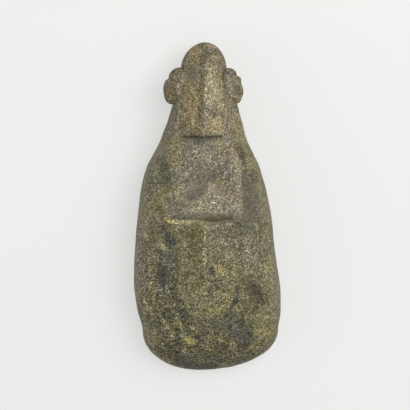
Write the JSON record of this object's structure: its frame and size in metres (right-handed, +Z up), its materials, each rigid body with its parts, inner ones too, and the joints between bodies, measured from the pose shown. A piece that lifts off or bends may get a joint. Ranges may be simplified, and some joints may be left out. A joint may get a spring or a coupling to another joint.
{
  "type": "stone adze head",
  "caption": "Carved stone adze head: a thick ground blade with a rounded bit, a front panel with a groove and a tongue in low relief, and a small ridged face with ears at the butt.",
  "frame": {"origin": "on the resting plane, under the middle of the bounding box", "axes": "+Y along the stone towards the carved head, +Z up out of the carved front, X across the blade"},
  "size_m": [0.104, 0.2399, 0.0523],
  "materials": {
    "stone": "matte"
  },
  "bodies": {
    "root": {"adze_head": "stone"}
  },
  "joints": []
}
